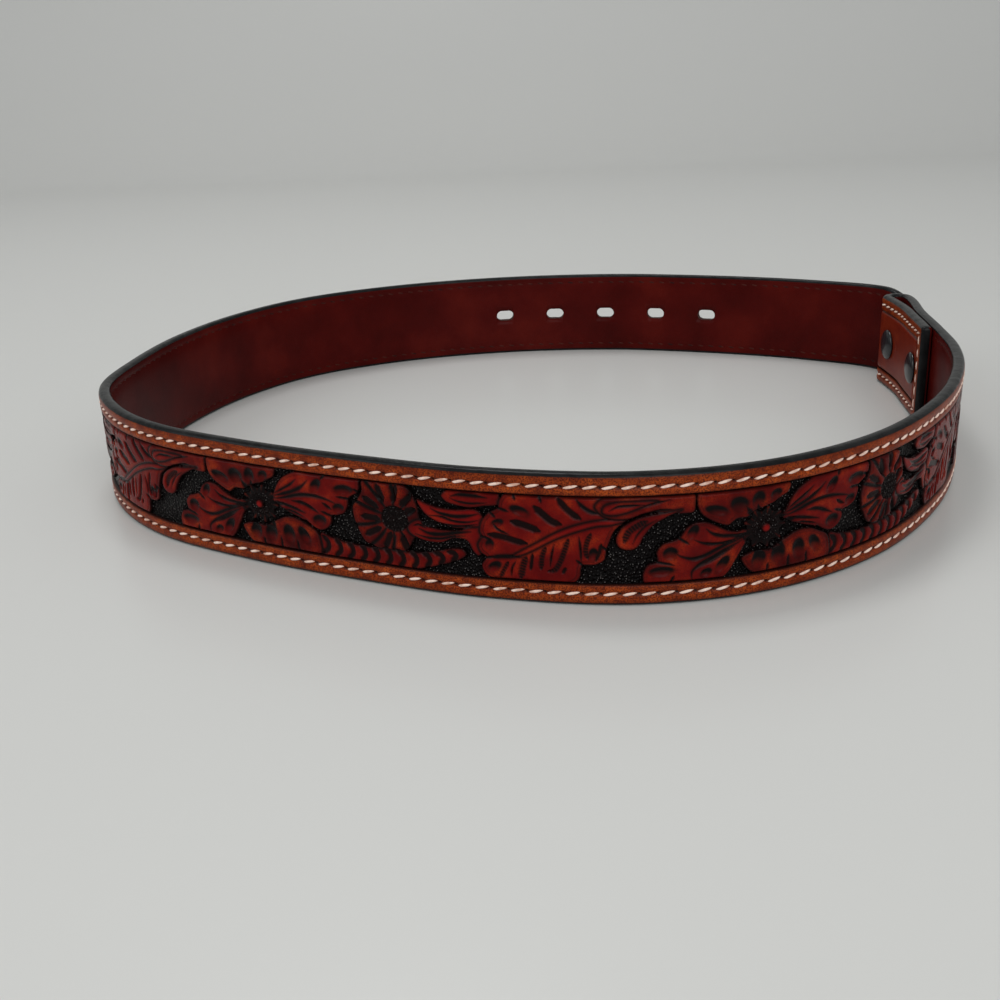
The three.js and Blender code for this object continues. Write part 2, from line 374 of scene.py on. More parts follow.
def read_dye_and_painted_light(finish):
    """The three channels of dye and painted light that a piece's points hold."""
    held = add_node(finish, "ShaderNodeAttribute", attribute_name="dye_and_painted_light").outputs["Color"]
    return add_node(finish, "ShaderNodeSeparateColor", {"Color": held}).outputs


def feed(finish, colour, normal=None):
    """Links a material's colour and its fine relief to its shader."""
    shader = finish.node_tree.nodes["Principled BSDF"]
    finish.node_tree.links.new(colour, shader.inputs["Base Color"])
    if normal is not None:
        finish.node_tree.links.new(normal, shader.inputs["Normal"])


# Each row of the border's section is an inset from the edge, a height and how dark its colour is there.
border_section = np.array((
    (6.45, -0.76, 1.0), (0.25, -0.76, 1.0), (0.25, 0.9, 1.0), (0.45, 1.36, 1.0), (0.75, 1.7, 0.75),
    (1.1, 1.9, 0.35), (1.6, 2.0, 0.15), (2.5, 2.02, 0.05), (2.95, 1.96, 0.1), (3.3, 1.78, 0.35),
    (3.65, 1.7, 0.5), (4.0, 1.78, 0.35), (4.35, 1.96, 0.1), (4.9, 2.03, 0.0), (5.7, 2.0, 0.1),
    (6.0, 1.9, 0.45), (6.2, 1.55, 0.9), (6.42, 1.1, 1.0),
))
awl_hole_depth = 0.55
awl_hole_reach = 0.7
awl_hole_sharpness = 5.5
awl_hole_dark = 1.3
stations_per_stitch = 8

stitch_line = outline(stitch_inset)
stitch_run = lengths_along(stitch_line)
stitch_count = round(stitch_run[-1] / wanted_stitch_pitch)
stitch_pitch = stitch_run[-1] / stitch_count
station_run = np.arange(stitch_count * stations_per_stitch) * stitch_pitch / stations_per_stitch
corner_stations = np.concatenate([end_points + np.arange(corner_points),
                                  len(stitch_line) - 1 - np.arange(corner_points)])
border_stations = np.unique(np.concatenate([np.searchsorted(stitch_run, station_run), corner_stations]))
hole_phase = stitch_run[border_stations] / stitch_pitch
at_awl_hole = np.clip(1 - np.abs(hole_phase - np.round(hole_phase)) * awl_hole_sharpness, 0, 1)

border_rows = []
border_dye = []
for inset, height, dark in border_section:
    flat = outline(inset)[border_stations]
    dent = at_awl_hole * max(0, 1 - abs(inset - stitch_inset) / awl_hole_reach)
    border_rows.append(np.column_stack([flat, height - awl_hole_depth * dent]))
    border_dye.append(np.column_stack([np.maximum(dark, awl_hole_dark * dent), np.zeros((len(flat), 2))]))
border = loft("carved_border", np.stack(border_rows, axis=1), closed=True)
store_dye_and_painted_light(border, np.stack(border_dye, axis=1))
finish_mesh(border, 50)

border_finish = new_finish("border_leather", 0.32, 0.08)
border_at = own_place(border_finish)
border_dye_and_shade = read_dye_and_painted_light(border_finish)
mottle = noise(border_finish, border_at, 260, 5)
pores = noise(border_finish, border_at, 2600, 3)
pore_share = ramp(border_finish, pores, ((0.44, (0, 0, 0)), (0.58, (0.85, 0.85, 0.85))))
tan = ramp(border_finish, mottle, (
    (0.3, (0.145, 0.019, 0.004)), (0.5, (0.28, 0.042, 0.007)), (0.72, (0.4, 0.072, 0.011))))
tan = mix(border_finish, pore_share, tan, (0.07, 0.009, 0.004, 1))
tan = mix(border_finish, border_dye_and_shade["Blue"], tan, (0.2, 0.011, 0.005, 1))
tan = mix(border_finish, border_dye_and_shade["Red"], tan, (0.008, 0.003, 0.003, 1))
feed(border_finish, tan, bump(border_finish, pores, 0.35, 0.0002))
border.data.materials.append(border_finish)
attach(border, "root")


# The painted edge. Both plies are trimmed together, rounded over and burnished, and their edge is painted
# in several glossy black coats that end just over the carved face and the lining.
# Each row of its section is an inset from the edge and a height.
paint_section = (
    (0.9, 1.83), (0.7, 1.74), (0.4, 1.46), (0.14, 1.05), (0.02, 0.5), (0.0, -0.2), (0.03, -0.9), (0.2, -1.4),
    (0.55, -1.8), (0.9, -1.96), (1.1, -2.0), (1.0, -1.85), (0.5, -1.2), (0.45, 1.0), (0.75, 1.55),
)
paint_step = 1.1
paint_stations = np.unique(np.concatenate([
    np.searchsorted(stitch_run, np.arange(0, stitch_run[-1] - paint_step / 2, paint_step)), corner_stations]))
painted_edge = loft("painted_edge", np.stack([
    np.column_stack([outline(inset)[paint_stations], np.full(len(paint_stations), height)])
    for inset, height in paint_section], axis=1), closed=True)
finish_mesh(painted_edge, 60)
paint_finish = new_finish("black_edge_paint", 0.25, 0.1)
paint_waves = noise(paint_finish, own_place(paint_finish), 190, 4)
paint_colour = ramp(paint_finish, paint_waves, (
    (0.35, (0.005, 0.0052, 0.0055)), (0.7, (0.014, 0.0145, 0.015))))
feed(paint_finish, paint_colour, bump(paint_finish, paint_waves, 0.5, 0.0006))
painted_edge.data.materials.append(paint_finish)
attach(painted_edge, "root")

# The tongue holes are punched through both plies. They are oblong, along the strap.
hole_count = 5
hole_length = 8.5
hole_height = 5.0
hole_pitch = 25.4
tip_to_hole = 107.0
hole_reach = 4.0
full_turn = np.linspace(0, 2 * math.pi, 48, endpoint=False)


def new_punch(name, along, radius, straight, reach):
    """A punch, round or oblong, that goes as far on both sides of the strap's middle line."""
    side = np.where(np.cos(full_turn) >= 0, 1, -1) * straight / 2
    rim = np.column_stack([along + side + radius * np.cos(full_turn), radius * np.sin(full_turn)])
    return loft(name, [np.column_stack([rim, np.full(len(rim), height)]) for height in (-reach, reach)])


punches = [
    new_punch(f"punch_{hole + 1}", on_strap(tip_end - tip_to_hole - hole * hole_pitch), hole_height / 2,
              hole_length - hole_height, hole_reach)
    for hole in range(hole_count)]
punch_finish = new_finish("punched_wall", 0.6, 0.2, colour=(0.05, 0.012, 0.007))
for punch in punches:
    punch.data.materials.append(punch_finish)
    finish_mesh(punch, 40)


def punch_through(piece, punch):
    """Cuts one hole through a piece, with the punch's dark wall."""
    cut = piece.modifiers.new("punch", "BOOLEAN")
    cut.object = punch
    cut.solver = "EXACT"
    cut.material_mode = "TRANSFER"
    pick(piece)
    bpy.ops.object.modifier_apply(modifier="punch")


# The lining. The inner ply is thinner, smooth leather, dyed dark red and waxed. It is glued to the carved
# ply's back and shares its stitches, which lie in a shallow crease along both of its edges.
# Each row of half of its section is an inset from the edge and a height.
lining_section = (
    (0.25, -0.78), (0.25, -1.35), (0.6, -1.75), (1.1, -1.95), (1.7, -2.0), (2.9, -2.0), (3.3, -1.93),
    (3.65, -1.88), (4.0, -1.93), (4.4, -2.0), (9.0, -2.0), (14.0, -2.0),
)
lining_back = 0.25
lining_step = 1.8
loop_stations = 28
flap_bore_radius = 4.15
strap_bore_radius = 2.5
bore_reach = 3.0
flap_end_bench = on_flap(0)
loop_end_bench = on_strap(0)
tip_start_bench = bench_length - tip_rounding
straight = np.concatenate([
    np.arange(lining_back, flap_end_bench, lining_step),
    np.linspace(flap_end_bench, loop_end_bench, loop_stations),
    np.arange(loop_end_bench + lining_step, tip_start_bench, lining_step)])


def across_strap(stations, section):
    """Sections right across the strap: its lower half, and the same again mirrored as its upper half."""
    lower = []
    turn = np.linspace(-math.pi / 2, 0, 34)
    inward = np.column_stack([np.cos(turn) / tip_rounding, np.sin(turn) / half_width])
    inward /= -np.linalg.norm(inward, axis=1, keepdims=True)
    tip = np.column_stack([tip_start_bench + tip_rounding * np.cos(turn), half_width * np.sin(turn)])
    for inset, height in section:
        flat = np.vstack([np.column_stack([stations, np.full(len(stations), inset - half_width)]),
                          tip + inset * inward])
        lower.append(np.column_stack([flat, np.full(len(flat), height)]))
    upper = [row * (1, -1, 1) for row in reversed(lower)]
    return np.stack(lower + upper, axis=1)


def pebbles(finish, place, scale):
    """How far each place is from the middle of its own small cell."""
    return add_node(finish, "ShaderNodeTexVoronoi", {"Vector": place, "Scale": scale}).outputs["Distance"]


for snap, snap_place in enumerate(snap_places):
    for ply, bore_along, bore_radius in (("flap", on_flap(snap_place), flap_bore_radius),
                                         ("strap", on_strap(snap_place), strap_bore_radius)):
        punches.append(new_punch(f"punch_{ply}_{snap + 1}", bore_along, bore_radius, 0, bore_reach))

lining = loft("lining", across_strap(straight, lining_section))
finish_mesh(lining, 40)
lining_finish = new_finish("lining_leather", 0.32, 0.05)
lining_at = own_place(lining_finish)
lining_colour = ramp(lining_finish, noise(lining_finish, lining_at, 42, 6), (
    (0.3, (0.038, 0.0022, 0.0018)), (0.52, (0.06, 0.0034, 0.0026)), (0.75, (0.09, 0.0065, 0.004))))
lining_grain = pebbles(lining_finish, lining_at, 1500)
feed(lining_finish, lining_colour, bump(lining_finish, lining_grain, 0.12, 0.0003))
lining.data.materials.append(lining_finish)
for punch in punches:
    punch_through(lining, punch)
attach(lining, "root")
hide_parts("lining_strap")

# The red-brown middle of the carved ply. It is dyed darker than the border, and a black antique dye is wiped
# over it, which stays in the cuts, the dents and the matted ground. Painted shade darkens the dents' upper
# sides, a painted red highlight lights their lower sides, and painted glints speckle the ground.
tooled_finish = new_finish("tooled_leather", 0.2, 0.05)
tooled_at = own_place(tooled_finish)
tooled_dye_and_light = read_dye_and_painted_light(tooled_finish)
antique = noise(tooled_finish, tooled_at, 150, 5)
fibres = noise(tooled_finish, tooled_at, 2400, 3)
matting = pebbles(tooled_finish, tooled_at, 1250)
red_brown = ramp(tooled_finish, antique, (
    (0.32, (0.016, 0.001, 0.0012)), (0.45, (0.058, 0.0028, 0.002)), (0.56, (0.125, 0.0078, 0.0028)),
    (0.7, (0.25, 0.027, 0.005))))
fibre_share = ramp(tooled_finish, fibres, ((0.46, (0, 0, 0)), (0.64, (0.6, 0.6, 0.6))))
speckled = mix(tooled_finish, fibre_share, red_brown, (0.02, 0.003, 0.002, 1))
# The third channel reddens each shape by its own tone, and the dents' lower sides as a painted highlight.
reddened_and_painted_lit = mix(tooled_finish, tooled_dye_and_light["Blue"], speckled, (0.25, 0.005, 0.005, 1))
# The first channel darkens with the antique dye, and the dents' upper sides with painted shade.
dyed_and_painted_shade = mix(tooled_finish, tooled_dye_and_light["Red"], reddened_and_painted_lit, (0.004, 0.0025, 0.0025, 1))
# The matted ground is near black with painted glints: greyish specks at its small cells' middles stand in for
# light caught on the matting.
matted_black_with_painted_glints = ramp(tooled_finish, matting, ((0.1, (0.12, 0.11, 0.105)), (0.27, (0.0025, 0.0018, 0.0018))))
tooled_colour = mix(tooled_finish, tooled_dye_and_light["Green"], dyed_and_painted_shade, matted_black_with_painted_glints)
matted = add_node(tooled_finish, "ShaderNodeMath", {0: matting, 1: tooled_dye_and_light["Green"]},
                  operation="MULTIPLY").outputs["Value"]
fibre_bump = bump(tooled_finish, fibres, 0.3, 0.0002)
feed(tooled_finish, tooled_colour,
     bump(tooled_finish, matted, 1.0, 0.0007, under=fibre_bump, invert=True))

# The plain end. The carved ply is left untooled from the cut end of the flap, round the loop and past the
# snaps, where the buckle and its keeper would rub the carving away.
panel_place = 66.0
panel_top = 1.96
panel_reach = half_width - border_inset
panel_start = on_strap(panel_place)
frame_cut = 0.9
frame_ease = 0.9
plain_red = 0.6
# A painted shade darkens the whole plain end, flap and loop alike.
plain_painted_shade = 0.3
plain_rows = np.array((0.0, 0.3, 0.7, 1.2, 3.0, 7.0, panel_reach))
plain_along = np.concatenate([
    border_inset + plain_rows[:4], np.arange(border_inset + 3, flap_end_bench, 2.0),
    np.linspace(flap_end_bench, loop_end_bench, loop_stations),
    np.arange(loop_end_bench + 2, panel_start - 2, 2.0), panel_start - plain_rows[3::-1]])


def framed_height(to_frame):
    """The carved face's height, which falls into the knife line that frames it."""
    return panel_top - frame_cut * (1 - soft_step(to_frame / frame_ease))


plain_across = np.concatenate([plain_rows - panel_reach, panel_reach - plain_rows[-2::-1]])
along, across = np.meshgrid(plain_along, plain_across, indexing="ij")
to_frame = np.minimum(panel_reach - np.abs(across),
                      np.minimum(along - border_inset, panel_start - along))
plain_top = np.stack([along, across, framed_height(to_frame)], axis=-1)
plain_back = plain_top[:, [-1, 0]] * (1, 1, 0) + (0, 0, glue_line)
plain_end = loft("plain_end", np.concatenate([plain_top, plain_back], axis=1))
# Its knife line is darkened by the antique dye, and the rest by the painted shade.
store_dye_and_painted_light(plain_end, np.concatenate([
    np.stack([np.maximum(1 - soft_step(to_frame / frame_ease), plain_painted_shade), 0 * to_frame,
              0 * to_frame + plain_red], axis=-1),
    np.ones((len(plain_along), 2, 3))], axis=1).reshape(-1, 3))
finish_mesh(plain_end, 50)
plain_end.data.materials.append(border_finish)
for punch in punches[hole_count:]:
    punch_through(plain_end, punch)
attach(plain_end, "root")

# The tooled panel. The middle of the carved ply is tooled by hand with a flower, a seed fan, an oak leaf and
# their stems, a repeat that runs the length of the belt. Their outlines are cut with a swivel knife, the
# leather outside them is bevelled down and its ground matted and dyed black, and shader, veiner and seeder
# stamps give them their dimples, bars and seeds. The drawing is flat, in millimetres: u runs to the right as
# the belt is seen from outside, v runs up, and both start at the flower's seed.
repeat = 150.5
flower_place = 253.0
grid_columns = 557
grid_rows = 93
ground_depth = 0.95
outline_drop = 0.3
outline_ease = 0.36
bevel_depth = 0.35
bevel_ease = 0.5
bevel_reach = 2.2
rim_inset = 1.05
rim_width = 0.22
rim_drop = 0.22
rim_dark = 0.6
line_dark = 0.95
halo_width = 0.58
rib_pitch = 0.85
rib_height = 0.09
seed_row = 0.87


def oriented(points, middle, angle):
    """Points turned and moved from a stamp's own axes to the drawing's."""
    turn = math.radians(angle)
    across, up = np.moveaxis(np.asarray(points, float), -1, 0)
    return np.stack([middle[0] + across * math.cos(turn) - up * math.sin(turn),
                     middle[1] + across * math.sin(turn) + up * math.cos(turn)], axis=-1)


class Tooling:
    """The carving over a grid of places: its height, and how dark, how grounded and how red it is."""

    def __init__(self, u, v):
        self.u, self.v = u.ravel(), v.ravel()
        self.height = np.full(self.u.shape, -ground_depth)
        self.dark = np.full(self.u.shape, 1.0)
        self.ground = np.ones(self.u.shape)
        self.red = np.zeros(self.u.shape)

    def near(self, points, margin):
        """The places close to some points, in each repeat that they reach."""
        low, high = points.min(axis=0) - margin, points.max(axis=0) + margin
        for shift in (-repeat, 0, repeat):
            u = self.u + shift
            hit = np.flatnonzero((u > low[0]) & (u < high[0]) & (self.v > low[1]) & (self.v < high[1]))
            if len(hit):
                yield hit, u[hit], self.v[hit]

    @staticmethod
    def measure(line, u, v):
        """How far places are from a line, and what share along it their nearest point lies."""
        away = np.full(u.shape, np.inf)
        share = np.zeros(u.shape)
        run = lengths_along(line)
        for start, end, travelled, reached in zip(line[:-1], line[1:], run[:-1], run[1:]):
            step = end - start
            part = np.clip(((u - start[0]) * step[0] + (v - start[1]) * step[1]) / (step @ step), 0, 1)
            distance = np.hypot(u - start[0] - part * step[0], v - start[1] - part * step[1])
            share = np.where(distance < away, (travelled + part * (reached - travelled)) / run[-1], share)
            away = np.minimum(away, distance)
        return away, share

    @staticmethod
    def inside(line, u, v):
        odd = np.zeros(u.shape, bool)
        for (u0, v0), (u1, v1) in zip(line, np.roll(line, -1, axis=0)):
            odd ^= ((v0 > v) != (v1 > v)) & (u < (u1 - u0) * (v - v0) / (v1 - v0 + 1e-12) + u0)
        return odd

    def shape(self, *points, top=0.0, red=0.0, rim=0.0):
        """A petal, leaf or stem: a plateau with a cut outline and a line inside it, bevelled down outside."""
        line = smooth_line(points, closed=True)
        closed = np.vstack([line, line[0]])
        for hit, u, v in self.near(line, bevel_reach):
            away, _ = self.measure(closed, u, v)
            within = self.inside(line, u, v)
            rim_line = rim * np.exp(-((away - rim_inset) / rim_width) ** 2)
            rounded = top - outline_drop * np.exp(-away / outline_ease) - rim_drop * rim_line
            bevelled = self.height[hit] - bevel_depth * np.exp(-away / bevel_ease)
            self.height[hit] = np.where(within, rounded, bevelled)
            halo = np.exp(-(away / halo_width) ** 2)
            self.dark[hit] = np.where(within, np.maximum(line_dark * halo, rim_dark * rim_line),
                                      np.maximum(self.dark[hit], halo))
            self.ground[hit] = np.where(within, 0, self.ground[hit])
            self.red[hit] = np.where(within, red, self.red[hit])

    def cut(self, points, width, depth, start=0.1, end=0.1):
        """A swivel knife's cut, widest along its middle and tapering to its ends."""
        line = smooth_line(points)
        for hit, u, v in self.near(line, width + 0.4):
            away, share = self.measure(line, u, v)
            taper = np.clip(np.minimum(start + share * 3, end + (1 - share) * 3), 0, 1)
            groove = np.exp(-(away / (width / 2 * (0.25 + 0.75 * taper))) ** 2)
            self.height[hit] -= depth * taper * groove
            self.dark[hit] = np.maximum(self.dark[hit], np.minimum(groove * (0.8 + 0.6 * taper), 1))

    def cuts(self, depth, *rows, start=0.1):
        """Cuts of one depth, each row a width and the points that the cut runs through."""
        for width, *points in rows:
            self.cut(points, width, depth, start=start)

    def bars(self, depth, *rows):
        """A veiner's flat dark channels, each row a width, how ribbed it is across, and its points."""
        for width, hatch, *points in rows:
            line = smooth_line(points)
            length = lengths_along(line)[-1]
            for hit, u, v in self.near(line, width):
                away, share = self.measure(line, u, v)
                taper = np.clip(0.45 + np.minimum(share, 1 - share) * 4, 0, 1)
                channel = 1 - soft_step((away / (width / 2 * taper) - 0.65) / 0.7)
                ribs = hatch * np.cos(share * length * 2 * math.pi / rib_pitch)
                self.height[hit] -= channel * (depth - rib_height * ribs)
                self.dark[hit] = np.maximum(self.dark[hit], channel * (0.97 - 0.3 * np.maximum(ribs, 0)))

    def dimples(self, depth, red, *rows):
        """A pear shader's dents, painted shade above and a painted red highlight below, each row u, v,
        length, breadth and angle.
        """
        for *middle, length, breadth, angle in rows:
            for hit, u, v in self.near(np.array([middle]), max(length, breadth)):
                along, across = oriented(np.stack([u - middle[0], v - middle[1]], axis=-1), (0, 0), -angle).T
                spread = np.hypot(along / (length / 1.75), across / (breadth / 1.75))
                dent = 1 - soft_step((spread - 0.35) / 0.75)
                ring_shade = np.exp(-((spread - 0.85) / 0.28) ** 2)
                # A dent's lower side faces up into the light: its red is a painted highlight, and its upper
                # side gets painted shade.
                painted_lit_side = soft_step(0.5 - (v - middle[1]) / breadth)
                self.height[hit] -= depth * dent
                shade = dent * (1.1 - 0.55 * painted_lit_side) + 0.9 * ring_shade * (1 - 0.7 * painted_lit_side)
                self.dark[hit] = np.maximum(self.dark[hit], np.minimum(shade, 1))
                self.red[hit] = np.maximum(self.red[hit], red * dent * painted_lit_side)

    def seeds(self, middle, length, breadth, pitch=0.95, top=-0.2):
        """A patch of small round seeds, stamped close together."""
        for hit, u, v in self.near(np.array([middle]), max(length, breadth)):
            spread = np.hypot((u - middle[0]) / length, (v - middle[1]) / breadth) * 2
            row = np.round((v - middle[1]) / (seed_row * pitch))
            across = (u - middle[0]) / pitch + 0.5 * (row % 2)
            nearest = np.hypot((across - np.round(across)) * pitch, v - middle[1] - row * seed_row * pitch)
            patch = 1 - soft_step((spread - 0.92) / 0.16)
            bead = np.clip(1 - (nearest / (0.5 * pitch)) ** 2, 0, 1)
            self.height[hit] += patch * (top - 0.35 * (1 - bead) - self.height[hit])
            self.dark[hit] += patch * (1 - 0.12 * bead - self.dark[hit])
            self.ground[hit] = np.maximum(self.ground[hit], 0.6 * patch)
            self.red[hit] *= 1 - patch


def tool_flower(tooling):
    """The flower: petals round a matted centre, with dimples in them and cuts that flow to the seed."""
    # The top petal
    tooling.shape(
        (-3.2, 5.6), (-5.2, 4.4), (-8.6, 4.2), (-11, 2.7), (-14, 3.6), (-17, 5.3), (-19, 7.4), (-19.8, 10),
        (-19.4, 12.6), (-8, 13), (4, 13), (7.2, 12.6), (6.6, 10), (4.6, 8.8), (2.2, 7.4), (-0.6, 6.6),
        red=0.15, rim=0.7)
    tooling.dimples(0.45, 0.5, (-14.2, 7.3, 6.2, 2.6, -16), (-8, 8.2, 4.2, 5.0, 70),
                    (-2.6, 8.8, 4.8, 3.4, 80), (2.6, 9.8, 3.4, 2.6, 40))
    # The right petals
    tooling.shape(
        (5, 2.6), (6.2, 5.4), (7.6, 8), (9.6, 10.2), (12.4, 11.8), (15.5, 12.8), (26, 13), (35.6, 12.9),
        (36.2, 10.4), (35.2, 8.4), (32.4, 6.5), (31.9, 4), (30.6, 1.8), (28.4, 0.8), (26.2, 0.3), (26, -1.6),
        (24.6, -3.6), (21.8, -4.7), (18.6, -3.6), (15, -1.9), (11, -0.5), (7.5, 1.0), red=0.3, rim=0.7)
    tooling.cuts(
        0.55,
        (1.3, (5.4, 3.8), (9, 4.9), (13, 6.3), (16.4, 8.2), (18.8, 10.4)),
        (0.9, (6, 4.6), (9.5, 6.6), (12.5, 8.4), (14.8, 10.3)),
        (1.3, (5.4, 3.0), (10, 4), (15, 5.4), (20, 5.8), (25, 5.2), (28, 4.4)),
        (1.2, (12.5, 3.4), (16.5, 3.0), (19.6, 1.8), (21.8, 0.8)),
        (1.0, (23.2, 4.2), (25, 3), (26.4, 2.4)),
        (1.1, (5.6, 2.2), (10, 1.7), (14, 0.8), (17.2, 0.1)),
        (0.7, (9, 0.6), (13, -0.3), (16.4, -1.3)))
    tooling.dimples(0.5, 0.9, (21.2, 8.9, 5.0, 2.6, 52), (30.8, 8.8, 6.0, 3.0, 4),
                    (28.6, 3.0, 3.6, 2.6, 20), (21.9, -1.7, 4.4, 3.4, 15))
    # The left petals
    tooling.shape(
        (-5.2, 0.9), (-8.4, 0.7), (-11.2, 1.4), (-14, 2.9), (-16.4, 4.2), (-19.4, 4.6), (-22.4, 3.2),
        (-24.4, 0.4), (-26.4, -0.4), (-28.8, -1.2), (-30.4, -3.4), (-30.3, -6.2), (-32.6, -6.9),
        (-33.9, -9.2), (-33.4, -12.7), (-24, -13), (-13, -12.8), (-10.6, -11), (-8.6, -7.8), (-6.6, -4.2),
        (-5, -1.4), red=0.25, rim=0.7)
    tooling.cuts(
        0.55,
        (1.2, (-17.2, 2.5), (-15.4, 0.9), (-12.6, -0.1), (-9, -0.4), (-6, -0.1)),
        (1.0, (-20.4, -0.4), (-18, -1.6), (-15, -2.2), (-11.5, -2.1), (-7, -0.9)),
        (1.3, (-25.4, -4), (-23.4, -5.2), (-20.6, -6), (-17.6, -5.5), (-13.4, -3.6), (-9.5, -2.2),
         (-6, -1.1)),
        (1.3, (-20.8, -12), (-20.8, -9.8), (-18.8, -8), (-15, -6), (-11, -3.9), (-7, -2)),
        (0.8, (-18, -8.3), (-15.2, -6.9), (-12, -5.2), (-9, -3.4)))
    tooling.dimples(0.5, 0.8, (-20.8, 1.6, 4.4, 2.4, 62), (-26.7, -4.1, 3.8, 3.6, 20),
                    (-29, -9.2, 6.4, 2.8, 2), (-12.6, -8.6, 5.6, 2.6, 55), (-17, -10.4, 3.2, 2.2, 35))
    # The notches between the lobes of both
    tooling.cuts(
        0.45, (0.9, (-24.4, 0.2), (-21.6, -1.6)), (0.9, (-30.3, -6.3), (-25.6, -7.4)),
        (0.9, (-26.5, -12.6), (-25.6, -10.4)), (0.9, (26.1, 0.2), (22.6, 1.4)),
        (0.9, (32.2, 6.3), (28.2, 6.6)), (0.9, (35.6, 8.8), (33.8, 9.6)),
        (0.9, (24.6, 12.6), (23.2, 11.2)), (0.9, (18.4, -3.5), (16.2, -1.9)), start=1)
    # The bottom petal
    tooling.shape(
        (1.6, -6), (3.4, -5.2), (6.4, -3.4), (10, -2), (14, -2.1), (17.6, -3.6), (20.6, -5.4), (21.6, -8),
        (21.3, -12.5), (12, -12.8), (0, -12.8), (-3.6, -12.2), (-6, -9.8), (-7.1, -7.3), (-4.8, -6.1),
        (-1.6, -5.8), red=0.1, rim=0.7)
    tooling.cuts(0.4, (0.8, (0.9, -12.4), (0.9, -9.8)), (0.8, (7.4, -12.4), (7.3, -8.6)),
                 (0.8, (13.5, -12.4), (13.2, -8.8)), start=1)
    tooling.dimples(0.5, 0.5, (-2, -8.6, 5.2, 3.8, 75), (3.9, -8.2, 5.0, 4.0, 82),
                    (10.5, -7.6, 5.6, 3.7, 95), (16.1, -7.2, 5.6, 3.0, 122))
    # The matted centre, with the rays that leave it and the seed in its middle
    tooling.shape(*[(reach * math.cos(turn), 0.4 + 0.92 * reach * math.sin(turn))
                    for turn, reach in zip(np.radians(np.arange(0, 360, 20)), (6.8, 5.2) * 9)], top=-0.75)
    for turn, reach in zip(np.radians(np.arange(8, 368, 20)), (9.8, 7.0, 8.4) * 6):
        heading = np.array((math.cos(turn), 0.92 * math.sin(turn)))
        aside = np.array((-heading[1], heading[0])) * 0.35
        points = np.array((heading * 2, heading * reach * 0.6 + aside, heading * reach)) + (0, 0.4)
        tooling.cut(points, 2.0, 0.35, start=1)
    tooling.seeds((0, 0.4), 8.0, 7.4, 0.8, -0.5)
    tooling.shape(*[(0.1 + 1.35 * math.cos(turn), 0.4 + 1.3 * math.sin(turn))
                    for turn in np.radians(np.arange(0, 360, 40))], top=-0.1, red=0.7)


